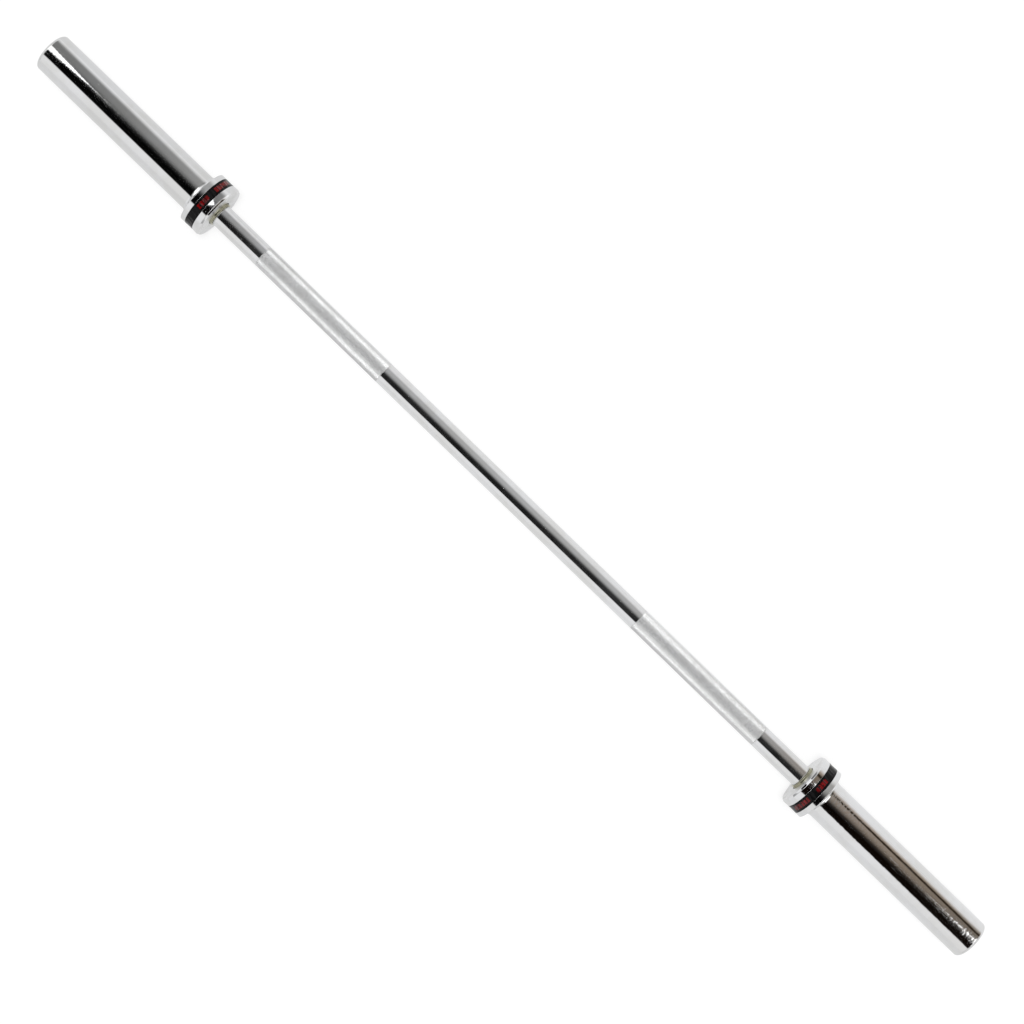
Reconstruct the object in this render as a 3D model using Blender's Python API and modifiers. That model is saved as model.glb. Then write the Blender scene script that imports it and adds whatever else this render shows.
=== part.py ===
"""A semi-olympic barbell: a knurled shaft with a rotating 50 mm sleeve at each end.

Units are metres. The bar lies along X with its middle at the origin. Each side of the bar is
modelled once, in a frame whose +Z points outward along the bar and starts at the collar's inner
face, and is then placed by an empty on the axis that its sleeve turns about.
"""

from math import cos, pi, radians, sin

import bmesh
import bpy

# The whole bar, and the stretch of each sleeve that is left for plates.
TOTAL_LENGTH = 1.500
LOADABLE_LENGTH = 0.246

# The shaft is turned down by the shoulder inside each sleeve.
SHAFT_DIAMETER = 0.028
SHAFT_SHOULDER = 0.0015
KNURL_LENGTH = 0.197
KNURL_HEIGHT = 0.00015
PLAIN_BESIDE_COLLAR = 0.072

# The sleeve tube: its outside, the step that seats a bushing, and its rounded rim.
SLEEVE_DIAMETER = 0.050
SLEEVE_STEP = 0.0015
SLEEVE_RIM = 0.0035

# The collar stands this high above the sleeve, and its web closes the sleeve's inner end.
COLLAR_WIDTH = 0.028
COLLAR_HEIGHT = 0.0105
COLLAR_WEB = 0.004
COLLAR_EDGE = 0.0008
COLLAR_CHAMFER_LENGTH = 0.0027
COLLAR_CHAMFER_HEIGHT = 0.0015
INNER_FLANGE_WIDTH = 0.0095
FLANGE_FALL = 0.0003
NECK_LENGTH = 0.0055
NECK_LIP = 0.0004
NECK_RISE = 0.0003
NECK_FILLET = 0.0032
BAND_WIDTH = 0.012
BAND_THICKNESS = 0.003
BAND_EDGE = 0.0004

# Each bushing fills the room between journal and sleeve; the inner one has a nose.
BUSHING_LENGTH = 0.025
BUSHING_ROOM = 0.0065
BUSHING_CHAMFER = 0.0005
NOSE_WALL = 0.002
NOSE_PROUD = 0.0015
WASHER_THICKNESS = 0.001
WASHER_EDGE = 0.0002
OUTER_WASHER_WIDTH = 0.004

# Snap rings: how deep they bite into a groove, and the lugs at their opening.
RING_THICKNESS = 0.0016
RING_WIDTH = 0.0022
RING_BITE = 0.0012
RING_LUG = 0.0016
RING_HOLE = 0.0007
RING_GAP_ANGLE = radians(24)
LUG_ANGLE = radians(16)

# The end cap sits in the sleeve's mouth, beyond the end of the journal.
CAP_THICKNESS = 0.004
CAP_SEAT_WIDTH = 0.001
CAP_DISH_DEPTH = 0.0008
CAP_DISH_RIM = 0.004
CAP_CHAMFER = 0.0006
MOUTH_DEPTH = 0.002
JOURNAL_END_TO_CAP = 0.010
RING_TO_JOURNAL_END = 0.0035
JOURNAL_CHAMFER = 0.0015

# Clearances, and how finely round shapes are divided.
SEAT_GAP = 0.0003
RUNNING_CLEARANCE = 0.00008
MERGE_DISTANCE = 0.00001
SEGMENTS = 36
HOLE_POINTS = 8
LUG_STEPS = 3
FILLET_STEPS = 4
SHARP_ANGLE = radians(30)
HALF_FACET = pi / SEGMENTS

# Radii that follow from the sizes above, from the shaft outward.
SHAFT_RADIUS = SHAFT_DIAMETER / 2
JOURNAL_RADIUS = SHAFT_RADIUS - SHAFT_SHOULDER
BUSHING_BORE = JOURNAL_RADIUS + RUNNING_CLEARANCE
SLEEVE_RADIUS = SLEEVE_DIAMETER / 2
COLLAR_RADIUS = SLEEVE_RADIUS + COLLAR_HEIGHT
COUNTERBORE_RADIUS = JOURNAL_RADIUS + BUSHING_ROOM
BUSHING_RADIUS = COUNTERBORE_RADIUS - SEAT_GAP
SLEEVE_WALL = SLEEVE_RADIUS - COUNTERBORE_RADIUS
BORE_RADIUS = COUNTERBORE_RADIUS - SLEEVE_STEP
NOSE_RADIUS = SHAFT_RADIUS + NOSE_WALL
CAP_BORE_RADIUS = COUNTERBORE_RADIUS + min(CAP_SEAT_WIDTH, SLEEVE_WALL / 6)
CAP_GROOVE_RADIUS = CAP_BORE_RADIUS + min(RING_BITE, SLEEVE_WALL / 5)
SHAFT_GROOVE_RADIUS = JOURNAL_RADIUS - RING_BITE
RING_GROOVE_WIDTH = RING_THICKNESS + 2 * SEAT_GAP

# Places along the bar. The collar's face is measured from the bar's middle, and the rest from
# the collar's face outward.
COLLAR_FACE = TOTAL_LENGTH / 2 - LOADABLE_LENGTH - COLLAR_WIDTH
SLEEVE_END = COLLAR_WIDTH + LOADABLE_LENGTH
SLEEVE_START = COLLAR_WEB + 2 * SEAT_GAP
NOSE_END = -NOSE_PROUD
INNER_WASHER_FACE = NOSE_END - SEAT_GAP - WASHER_THICKNESS
SHOULDER = INNER_WASHER_FACE - SEAT_GAP
INNER_BUSHING_END = COLLAR_WEB + SEAT_GAP + BUSHING_LENGTH
CAP_GROOVE_END = SLEEVE_END - MOUTH_DEPTH
CAP_GROOVE_START = CAP_GROOVE_END - RING_GROOVE_WIDTH
CAP_OUTER_FACE = CAP_GROOVE_START
CAP_INNER_FACE = CAP_OUTER_FACE - CAP_THICKNESS
CAP_STEP = CAP_INNER_FACE - SEAT_GAP
JOURNAL_END = CAP_INNER_FACE - JOURNAL_END_TO_CAP
SHAFT_GROOVE_END = JOURNAL_END - RING_TO_JOURNAL_END
SHAFT_GROOVE_START = SHAFT_GROOVE_END - RING_GROOVE_WIDTH
OUTER_WASHER_FACE = SHAFT_GROOVE_START - WASHER_THICKNESS
OUTER_BUSHING_END = OUTER_WASHER_FACE - SEAT_GAP
OUTER_BUSHING_START = OUTER_BUSHING_END - BUSHING_LENGTH
OUTER_STEP = OUTER_BUSHING_START - SEAT_GAP

# The knurl's two ends, measured from the bar's middle.
KNURL_END = COLLAR_FACE - PLAIN_BESIDE_COLLAR
KNURL_START = KNURL_END - KNURL_LENGTH

# Each finish is a colour, a roughness and a metallic value.
FINISHES = {
    "chrome": ((0.72, 0.73, 0.74, 1.0), 0.08, 1.0),
    "satin_chrome": ((0.66, 0.67, 0.68, 1.0), 0.25, 1.0),
    "black_band": ((0.012, 0.012, 0.013, 1.0), 0.30, 0.0),
    "bronze": ((0.52, 0.41, 0.20, 1.0), 0.32, 1.0),
    "spring_steel": ((0.20, 0.20, 0.21, 1.0), 0.40, 1.0),
    "plain_steel": ((0.48, 0.48, 0.49, 1.0), 0.35, 1.0),
}


def clear_scene():
    """Remove whatever the file opened with."""
    for obj in list(bpy.data.objects):
        bpy.data.objects.remove(obj)


def make_material(node, finish):
    """Give one piece its own Principled material."""
    colour, roughness, metallic = FINISHES[finish]
    material = bpy.data.materials.new(f"{node}_{finish}")
    material.use_nodes = True
    shader = material.node_tree.nodes["Principled BSDF"]
    shader.inputs["Base Color"].default_value = colour
    shader.inputs["Roughness"].default_value = roughness
    shader.inputs["Metallic"].default_value = metallic
    material.diffuse_color = colour
    return material


def arc(centre, radius, start, end, steps):
    """Points of a profile's round stretch, as (radius from the axis, height)."""
    across, height = centre
    angles = [start + (end - start) * i / steps for i in range(steps + 1)]
    return [(across + radius * cos(a), height + radius * sin(a)) for a in angles]


def ring_profile(bore, outer, bottom, top, edge):
    """A plain ring with its two outer edges chamfered: down the outside, back up the bore."""
    return [
        (outer - edge, top),
        (outer, top - edge),
        (outer, bottom + edge),
        (outer - edge, bottom),
        (bore, bottom),
        (bore, top),
    ]


def place(obj, parent, height, turn):
    """Put a piece on its side's axis, turned about that axis."""
    obj.parent = parent
    obj.location = (0.0, 0.0, height)
    obj.rotation_euler = (0.0, 0.0, turn)


def shade_round(mesh):
    """Smooth the round faces and keep the turned edges crisp."""
    mesh.shade_smooth()
    mesh.set_sharp_from_angle(angle=SHARP_ANGLE)


def settle(obj, collection, finish):
    """Replace a modifier stack or a curve by the clean mesh it makes."""
    depsgraph = bpy.context.evaluated_depsgraph_get()
    mesh = bpy.data.meshes.new_from_object(obj.evaluated_get(depsgraph))
    shape = bmesh.new()
    shape.from_mesh(mesh)
    bmesh.ops.remove_doubles(shape, verts=shape.verts, dist=MERGE_DISTANCE)
    shape.to_mesh(mesh)
    shape.free()
    name = obj.name
    bpy.data.objects.remove(obj)
    solid = bpy.data.objects.new(name, mesh)
    mesh.name = name
    mesh.materials.clear()
    mesh.materials.append(make_material(name, finish))
    shade_round(mesh)
    collection.objects.link(solid)
    return solid


def turned(name, profile, closed, finish, collection):
    """Turn a profile of (radius, height) points about Z."""
    outline = bmesh.new()
    points = [outline.verts.new((radius, 0.0, height)) for radius, height in profile]
    for first, second in zip(points, points[1:]):
        outline.edges.new((first, second))
    if closed:
        outline.edges.new((points[-1], points[0]))
    mesh = bpy.data.meshes.new(name)
    outline.to_mesh(mesh)
    outline.free()
    obj = bpy.data.objects.new(name, mesh)
    collection.objects.link(obj)
    screw = obj.modifiers.new("turning", "SCREW")
    screw.axis = "Z"
    screw.angle = 2 * pi
    screw.steps = SEGMENTS
    screw.render_steps = SEGMENTS
    screw.use_merge_vertices = True
    screw.merge_threshold = MERGE_DISTANCE
    return settle(obj, collection, finish)


def add_outline(curve, points):
    """Add one closed outline to a flat curve."""
    spline = curve.splines.new("POLY")
    spline.points.add(len(points) - 1)
    for target, (x, y) in zip(spline.points, points):
        target.co = (x, y, 0.0, 1.0)
    spline.use_cyclic_u = True


def circle_points(radius, start, end, count):
    """Points along an arc about the bar's axis."""
    angles = [start + (end - start) * i / count for i in range(count + 1)]
    return [(radius * cos(a), radius * sin(a)) for a in angles]


def snap_ring_outline(seat, rim, lug):
    """A C-shaped outline: a smooth seat edge, and a rim that ends in two lugs."""
    opening = RING_GAP_ANGLE / 2
    shoulder = opening + LUG_ANGLE
    full = 2 * pi
    first_lug = circle_points(lug, opening, shoulder, LUG_STEPS)
    body = circle_points(rim, shoulder, full - shoulder, SEGMENTS)
    second_lug = circle_points(lug, full - shoulder, full - opening, LUG_STEPS)
    seat_edge = circle_points(seat, full - opening, opening, SEGMENTS)
    return first_lug + body + second_lug + seat_edge


def lug_hole(seat, lug, angle):
    """The plier hole in the middle of a lug."""
    middle = (seat + lug) / 2
    turns = [2 * pi * i / HOLE_POINTS for i in range(HOLE_POINTS)]
    x = middle * cos(angle)
    y = middle * sin(angle)
    return [(x + RING_HOLE * cos(t), y + RING_HOLE * sin(t)) for t in turns]


def snap_ring(name, seat, rim, lug, collection):
    """A flat spring ring with two plier holes."""
    curve = bpy.data.curves.new(name, "CURVE")
    curve.dimensions = "2D"
    curve.fill_mode = "BOTH"
    curve.extrude = RING_THICKNESS / 2
    add_outline(curve, snap_ring_outline(seat, rim, lug))
    hole_angle = RING_GAP_ANGLE / 2 + LUG_ANGLE / 2
    add_outline(curve, lug_hole(seat, lug, hole_angle))
    add_outline(curve, lug_hole(seat, lug, -hole_angle))
    obj = bpy.data.objects.new(name, curve)
    collection.objects.link(obj)
    return settle(obj, collection, "spring_steel")


def half_shaft_profile():
    """One half of the shaft, from its end in to the middle, as distances from the middle."""
    knurl_radius = SHAFT_RADIUS + KNURL_HEIGHT
    end = COLLAR_FACE + JOURNAL_END
    shoulder = COLLAR_FACE + SHOULDER
    return [
        (0.0, end),
        (JOURNAL_RADIUS - JOURNAL_CHAMFER, end),
        (JOURNAL_RADIUS, end - JOURNAL_CHAMFER),
        (JOURNAL_RADIUS, COLLAR_FACE + SHAFT_GROOVE_END),
        (SHAFT_GROOVE_RADIUS, COLLAR_FACE + SHAFT_GROOVE_END),
        (SHAFT_GROOVE_RADIUS, COLLAR_FACE + SHAFT_GROOVE_START),
        (JOURNAL_RADIUS, COLLAR_FACE + SHAFT_GROOVE_START),
        (JOURNAL_RADIUS, shoulder),
        (SHAFT_RADIUS, shoulder),
        (SHAFT_RADIUS, KNURL_END),
        (knurl_radius, KNURL_END - KNURL_HEIGHT),
        (knurl_radius, KNURL_START + KNURL_HEIGHT),
        (SHAFT_RADIUS, KNURL_START),
    ]


def make_shaft(collection, axis):
    """The one-piece shaft: two knurled grips, and a turned-down journal at each end."""
    upper = half_shaft_profile()
    lower = [(radius, -height) for radius, height in reversed(upper)]
    shaft = turned("shaft", upper + lower, False, "chrome", collection)
    place(shaft, axis, 0.0, HALF_FACET)


def sleeve_profile():
    """The 50 mm tube, bored in steps for two bushings, the end cap and its ring."""
    rim_centre = (SLEEVE_RADIUS - SLEEVE_RIM, SLEEVE_END - SLEEVE_RIM)
    rim = arc(rim_centre, SLEEVE_RIM, pi / 2, 0.0, FILLET_STEPS)
    return rim + [
        (SLEEVE_RADIUS, SLEEVE_START),
        (COUNTERBORE_RADIUS, SLEEVE_START),
        (COUNTERBORE_RADIUS, INNER_BUSHING_END + SEAT_GAP),
        (BORE_RADIUS, INNER_BUSHING_END + SEAT_GAP),
        (BORE_RADIUS, OUTER_STEP),
        (COUNTERBORE_RADIUS, OUTER_STEP),
        (COUNTERBORE_RADIUS, CAP_STEP),
        (CAP_BORE_RADIUS, CAP_STEP),
        (CAP_BORE_RADIUS, CAP_GROOVE_START),
        (CAP_GROOVE_RADIUS, CAP_GROOVE_START),
        (CAP_GROOVE_RADIUS, CAP_GROOVE_END),
        (CAP_BORE_RADIUS, CAP_GROOVE_END),
        (CAP_BORE_RADIUS, SLEEVE_END),
    ]


def collar_profile():
    """The collar: a web over the sleeve's end, a filleted neck, and two flanges that fall
    slightly towards the band groove between them."""
    neck_radius = SLEEVE_RADIUS + SEAT_GAP
    fillet_centre = (neck_radius + NECK_LIP + NECK_RISE + NECK_FILLET, COLLAR_WIDTH + NECK_FILLET)
    fillet = arc(fillet_centre, NECK_FILLET, pi, 1.5 * pi, FILLET_STEPS)
    root = COLLAR_RADIUS - BAND_THICKNESS
    groove_start = INNER_FLANGE_WIDTH
    groove_end = INNER_FLANGE_WIDTH + BAND_WIDTH
    return [
        (neck_radius, COLLAR_WIDTH + NECK_LENGTH),
        (neck_radius + NECK_LIP, COLLAR_WIDTH + NECK_LENGTH),
        *fillet,
        (COLLAR_RADIUS - COLLAR_EDGE, COLLAR_WIDTH),
        (COLLAR_RADIUS, COLLAR_WIDTH - COLLAR_EDGE),
        (COLLAR_RADIUS - FLANGE_FALL, groove_end),
        (root, groove_end),
        (root, groove_start),
        (COLLAR_RADIUS - FLANGE_FALL, groove_start),
        (COLLAR_RADIUS, COLLAR_CHAMFER_LENGTH),
        (COLLAR_RADIUS - COLLAR_CHAMFER_HEIGHT, 0.0),
        (NOSE_RADIUS + SEAT_GAP, 0.0),
        (NOSE_RADIUS + SEAT_GAP, COLLAR_WEB),
        (neck_radius, COLLAR_WEB),
    ]


def make_collar(side, collection, axis):
    """The collar that stops the plates, and the band in its groove."""
    collar = turned(f"{side}_collar", collar_profile(), True, "chrome", collection)
    place(collar, axis, 0.0, HALF_FACET)
    bottom = INNER_FLANGE_WIDTH + SEAT_GAP
    top = INNER_FLANGE_WIDTH + BAND_WIDTH - SEAT_GAP
    bore = COLLAR_RADIUS - BAND_THICKNESS + SEAT_GAP
    outline = ring_profile(bore, COLLAR_RADIUS - FLANGE_FALL, bottom, top, BAND_EDGE)
    band = turned(f"{side}_collar_band", outline, True, "black_band", collection)
    place(band, axis, 0.0, HALF_FACET)


def make_sleeve(side, collection, axis):
    """The tube that carries the plates."""
    sleeve = turned(f"{side}_sleeve", sleeve_profile(), True, "chrome", collection)
    place(sleeve, axis, 0.0, HALF_FACET)


def make_inner_bushing(side, collection, axis):
    """The bronze bushing at the collar, whose nose comes out through the collar's web."""
    step = COLLAR_WEB + SEAT_GAP
    outline = [
        (BUSHING_BORE, INNER_BUSHING_END),
        (BUSHING_RADIUS - BUSHING_CHAMFER, INNER_BUSHING_END),
        (BUSHING_RADIUS, INNER_BUSHING_END - BUSHING_CHAMFER),
        (BUSHING_RADIUS, step),
        (NOSE_RADIUS, step),
        (NOSE_RADIUS, NOSE_END + BUSHING_CHAMFER),
        (NOSE_RADIUS - BUSHING_CHAMFER, NOSE_END),
        (BUSHING_BORE, NOSE_END),
    ]
    bushing = turned(f"{side}_inner_bushing", outline, True, "bronze", collection)
    place(bushing, axis, 0.0, HALF_FACET)


def make_outer_bushing(side, collection, axis):
    """The bronze bushing near the journal's end, pressed against a step in the sleeve."""
    start = OUTER_BUSHING_START
    outline = ring_profile(BUSHING_BORE, BUSHING_RADIUS, start, OUTER_BUSHING_END, BUSHING_CHAMFER)
    bushing = turned(f"{side}_outer_bushing", outline, True, "bronze", collection)
    place(bushing, axis, 0.0, HALF_FACET)


def make_washers(side, collection, axis):
    """The thrust washers that the two bushings turn against."""
    start = INNER_WASHER_FACE
    inner = ring_profile(BUSHING_BORE, NOSE_RADIUS, start, start + WASHER_THICKNESS, WASHER_EDGE)
    washer = turned(f"{side}_inner_washer", inner, True, "bronze", collection)
    place(washer, axis, 0.0, HALF_FACET)
    radius = JOURNAL_RADIUS + OUTER_WASHER_WIDTH
    start = OUTER_WASHER_FACE
    outer = ring_profile(BUSHING_BORE, radius, start, start + WASHER_THICKNESS, WASHER_EDGE)
    washer = turned(f"{side}_outer_washer", outer, True, "plain_steel", collection)
    place(washer, axis, 0.0, HALF_FACET)


def make_shaft_ring(side, collection, axis):
    """The snap ring that keeps the sleeve on the journal."""
    seat = SHAFT_GROOVE_RADIUS + SEAT_GAP
    rim = seat + RING_WIDTH
    ring = snap_ring(f"{side}_shaft_ring", seat, rim, rim + RING_LUG, collection)
    place(ring, axis, (SHAFT_GROOVE_START + SHAFT_GROOVE_END) / 2, 0.0)


def make_cap(side, collection, axis):
    """The dished end cap, and the snap ring that holds it in the sleeve's mouth."""
    radius = CAP_BORE_RADIUS - SEAT_GAP
    dish = radius - CAP_DISH_RIM
    outline = [
        (0.0, CAP_OUTER_FACE - CAP_DISH_DEPTH),
        (dish - CAP_DISH_DEPTH, CAP_OUTER_FACE - CAP_DISH_DEPTH),
        (dish, CAP_OUTER_FACE),
        (radius - CAP_CHAMFER, CAP_OUTER_FACE),
        (radius, CAP_OUTER_FACE - CAP_CHAMFER),
        (radius, CAP_INNER_FACE),
        (0.0, CAP_INNER_FACE),
    ]
    cap = turned(f"{side}_end_cap", outline, False, "satin_chrome", collection)
    place(cap, axis, 0.0, HALF_FACET)
    seat = CAP_GROOVE_RADIUS - SEAT_GAP
    rim = seat - RING_WIDTH
    ring = snap_ring(f"{side}_cap_ring", seat, rim, rim - RING_LUG, collection)
    place(ring, axis, (CAP_GROOVE_START + CAP_GROOVE_END) / 2, 0.0)


def make_axis(name, distance, pitch, collection):
    """An empty on the bar's axis, whose +Z points along it."""
    axis = bpy.data.objects.new(name, None)
    axis.empty_display_size = SLEEVE_DIAMETER
    axis.location = (distance, 0.0, 0.0)
    axis.rotation_euler = (0.0, pitch, 0.0)
    collection.objects.link(axis)
    return axis


def make_side(side, distance, pitch, collection):
    """All that turns on, or is held by, one end of the shaft."""
    axis = make_axis(f"{side}_sleeve_axis", distance, pitch, collection)
    make_sleeve(side, collection, axis)
    make_collar(side, collection, axis)
    make_inner_bushing(side, collection, axis)
    make_outer_bushing(side, collection, axis)
    make_washers(side, collection, axis)
    make_shaft_ring(side, collection, axis)
    make_cap(side, collection, axis)


def main():
    clear_scene()
    collection = bpy.data.collections.new("barbell")
    bpy.context.scene.collection.children.link(collection)
    make_shaft(collection, make_axis("shaft_axis", 0.0, pi / 2, collection))
    make_side("left", -COLLAR_FACE, -pi / 2, collection)
    make_side("right", COLLAR_FACE, pi / 2, collection)


main()
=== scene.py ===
# %% [markdown]
# # A short barbell, finished for its picture
#
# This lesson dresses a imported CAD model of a 1.5 m chromed barbell. The CAD model says where
# each piece is and how big it is. Its round parts have 36 flat sides, because that is enough for
# fitting and for physics. Here each visible piece is turned again with a fine outline, and every
# piece gets a finish made of shader nodes.

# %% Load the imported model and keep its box
from math import cos, pi, radians, sin

import bpy
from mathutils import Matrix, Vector


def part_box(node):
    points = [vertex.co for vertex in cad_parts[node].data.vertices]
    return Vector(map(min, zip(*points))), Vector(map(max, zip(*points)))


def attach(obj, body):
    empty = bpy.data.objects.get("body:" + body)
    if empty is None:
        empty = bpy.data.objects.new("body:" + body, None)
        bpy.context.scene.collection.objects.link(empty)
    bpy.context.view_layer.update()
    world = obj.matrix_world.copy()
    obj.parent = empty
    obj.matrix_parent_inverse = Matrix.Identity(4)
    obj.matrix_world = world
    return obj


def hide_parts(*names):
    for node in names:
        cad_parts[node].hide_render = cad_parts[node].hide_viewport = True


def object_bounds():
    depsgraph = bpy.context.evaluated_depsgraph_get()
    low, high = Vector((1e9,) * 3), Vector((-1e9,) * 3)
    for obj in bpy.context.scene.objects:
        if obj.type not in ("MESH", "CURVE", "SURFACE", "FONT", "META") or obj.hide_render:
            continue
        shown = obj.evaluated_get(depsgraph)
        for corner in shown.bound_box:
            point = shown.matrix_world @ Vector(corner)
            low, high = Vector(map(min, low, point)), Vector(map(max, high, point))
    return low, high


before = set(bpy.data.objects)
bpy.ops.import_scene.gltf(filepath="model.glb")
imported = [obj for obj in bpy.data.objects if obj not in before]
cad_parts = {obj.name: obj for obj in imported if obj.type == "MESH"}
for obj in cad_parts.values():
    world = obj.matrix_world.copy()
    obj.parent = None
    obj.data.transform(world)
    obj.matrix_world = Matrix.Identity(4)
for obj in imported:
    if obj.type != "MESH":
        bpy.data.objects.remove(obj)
cad_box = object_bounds()
MM = 0.001
print("CAD nodes:", len(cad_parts), "box in mm:", [round(v / MM, 2) for v in cad_box[1]])

# %% [markdown]
# ## The camera
#
# The picture was taken from straight above a level bar and then turned. So the camera looks
# straight down, its place sets the framing, and its turn sets the slope. The lens follows from how
# many pixels a metre of the bar covers.

# %% Place the camera above the bar
PICTURE_SIZE = 1024
PIXELS_PER_METRE = 853.0
CAMERA_HEIGHT = 2.41
SENSOR_WIDTH = 36.0
BAR_SLOPE = radians(44.06)
BAR_MIDDLE_PIXEL = (511.0, 496.0)

lens_length = PIXELS_PER_METRE * CAMERA_HEIGHT * SENSOR_WIDTH / PICTURE_SIZE
picture_right = Vector((cos(BAR_SLOPE), sin(BAR_SLOPE), 0))
picture_up = Vector((-sin(BAR_SLOPE), cos(BAR_SLOPE), 0))
right_of_middle = (PICTURE_SIZE / 2 - BAR_MIDDLE_PIXEL[0]) / PIXELS_PER_METRE
below_middle = (PICTURE_SIZE / 2 - BAR_MIDDLE_PIXEL[1]) / PIXELS_PER_METRE
camera_place = picture_right * right_of_middle - picture_up * below_middle
camera_place.z = CAMERA_HEIGHT

bpy.ops.object.camera_add(location=camera_place, rotation=(0, 0, BAR_SLOPE))
camera = bpy.context.object
camera.name = "camera_above"
camera.data.lens = lens_length
camera.data.sensor_width = SENSOR_WIDTH
camera.data.clip_start = 0.05
camera.data.clip_end = 200
bpy.context.scene.camera = camera
print("lens", round(lens_length, 2), "mm, camera at", [round(v, 4) for v in camera_place])

# %% [markdown]
# ## Small helpers for nodes
#
# Node trees are easier to read when each node is one line. The helpers add nodes to the tree in
# use. `maths` adds a Math node and gives back its output, `ramp_between` turns a range into 0 to 1
# with soft ends, and `feed` links a socket or sets its value. All finishes are built from these.

# %% Helpers that add nodes
tree_in_use = None


def work_on(tree):
    """From here on, the helpers add their nodes to this tree."""
    global tree_in_use
    tree_in_use = tree


def add_node(kind, **settings):
    """Add a node and set its properties."""
    made = tree_in_use.nodes.new(kind)
    for name, value in settings.items():
        setattr(made, name, value)
    return made


def feed(socket, value):
    """Link a socket to another, or set its value."""
    if isinstance(value, bpy.types.NodeSocket):
        tree_in_use.links.new(value, socket)
    else:
        socket.default_value = value


def in_order(node, *values):
    """Feed a node's inputs in their order, and give back its first output."""
    for socket, value in zip(node.inputs, values):
        feed(socket, value)
    return node.outputs[0]


def by_name(node, **values):
    """Feed a node's inputs by name, with _ for a space, and give back its outputs."""
    for name, value in values.items():
        feed(node.inputs[name.replace("_", " ")], value)
    return node.outputs


def maths(operation, *values):
    """A Math node's result."""
    return in_order(add_node("ShaderNodeMath", operation=operation), *values)


def times(first, second):
    """The product of two values."""
    return maths("MULTIPLY", first, second)


def minus(first, second):
    """The difference of two values."""
    return maths("SUBTRACT", first, second)


def ramp_between(value, start, end, low=0.0, high=1.0):
    """Goes smoothly from low to high while the value goes from start to end."""
    return by_name(add_node("ShaderNodeMapRange", interpolation_type="SMOOTHSTEP"), Value=value,
                   From_Min=start, From_Max=end, To_Min=low, To_Max=high)[0]


def blend_colours(factor, first, second, way="MIX"):
    """The first colour where the factor is 0, the second where it is 1."""
    made = add_node("ShaderNodeMix", data_type="RGBA", blend_type=way)
    feed(made.inputs[0], factor)
    feed(made.inputs[6], first)
    feed(made.inputs[7], second)
    return made.outputs[2]


def noise(place, scale, detail=2.0):
    """A cloudy pattern from 0 to 1."""
    return by_name(add_node("ShaderNodeTexNoise"), Vector=place, Scale=scale, Detail=detail)[0]


def stretched(place, scale):
    """Coordinates stretched by a different amount on each axis."""
    return by_name(add_node("ShaderNodeMapping"), Vector=place, Scale=scale)[0]


def split(place):
    """The three coordinates one by one."""
    return by_name(add_node("ShaderNodeSeparateXYZ"), Vector=place)


def tone_ramp(value, stops):
    """A colour ramp from a list of (position, colour)."""
    made = add_node("ShaderNodeValToRGB")
    elements = made.color_ramp.elements
    elements.remove(elements[0])
    for number, (position, colour) in enumerate(stops):
        if number:
            elements.new(position)
        elements[number].position = position
        elements[number].color = (*colour, 1.0)
    return in_order(made, value)


# %% [markdown]
# ## The room that the chrome shows
#
# Chrome has hardly any colour of its own: it shows the room it mirrors. The picture shows a white
# room with a dark strip and a grey strip that run the length of the bar overhead, and a lit opening
# beyond each end of them. The room is painted on the world by direction: `turn` is the angle round
# the bar, with 0 straight up and plus towards the far side, and `slant` says how much a direction
# leans towards the bar's ends. The camera itself sees plain white.

# %% Describe the room by direction
DEGREES_PER_RADIAN = 180 / pi
WHITE_WALL = 0.98
OPENING_TONE = 2.0
SPARK_TONE = 3.5
PLAIN_LIGHT = 0.75

# Tone of the room round the bar: (turn in degrees, brightness).
TONES_ROUND_THE_BAR = [
    (-180, 0.90), (-90, 0.92), (-80, 1.00), (-60, 1.03), (-44.0, 1.01), (-40.0, 0.003),
    (-12, 0.001), (-4, 0.012), (2, 0.04), (8, 0.12), (14, 0.27), (20, 0.38), (30, 0.52),
    (42, 0.56), (56, 0.57), (62, 0.66), (70, 0.90), (82, 1.00), (92, 0.97), (105, 0.92),
    (180, 0.90),
]
# How the grey strip darkens, and warms, towards the two ends: (slant, colour).
GREY_ALONG_THE_BAR = [
    (-0.30, (0.44, 0.44, 0.435)), (-0.28, (0.48, 0.48, 0.475)), (-0.25, (0.58, 0.58, 0.575)),
    (-0.22, (0.66, 0.66, 0.655)), (-0.18, (0.82, 0.82, 0.82)), (-0.08, (0.95, 0.95, 0.95)),
    (0.05, (0.98, 0.98, 0.97)), (0.17, (0.72, 0.70, 0.67)), (0.21, (0.64, 0.54, 0.46)),
    (0.25, (0.56, 0.45, 0.35)), (0.28, (0.46, 0.38, 0.31)), (0.30, (0.36, 0.33, 0.28)),
]
# Tones of the room further towards the ends, which the knurls' slanted diamonds mirror. The room
# is not the same at both ends, so each knurl has its own. They were solved for, and then adjusted,
# so that the knurls come out about as bright as in the picture.
TONES_OVER_LEFT_KNURL = [
    (-90, 0.40), (-76, 0.50), (-66, 0.58), (-55, 0.54), (-45, 0.62), (-34, 1.02), (-22, 1.72),
    (-11, 2.10), (0, 1.85), (11, 1.50), (22, 1.35), (34, 1.26), (45, 1.08), (55, 0.95), (66, 0.94),
    (76, 1.00), (90, 1.05),
]
TONES_OVER_RIGHT_KNURL = [
    (-90, 0.50), (-76, 0.54), (-66, 0.66), (-55, 0.60), (-45, 0.62), (-34, 1.00), (-22, 2.15),
    (-11, 3.10), (0, 3.05), (11, 2.50), (22, 2.10), (34, 1.65), (45, 1.28), (55, 1.10), (66, 1.04),
    (76, 1.12), (90, 1.25),
]


def grey(value):
    """One brightness as a colour."""
    return (value, value, value)


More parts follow.
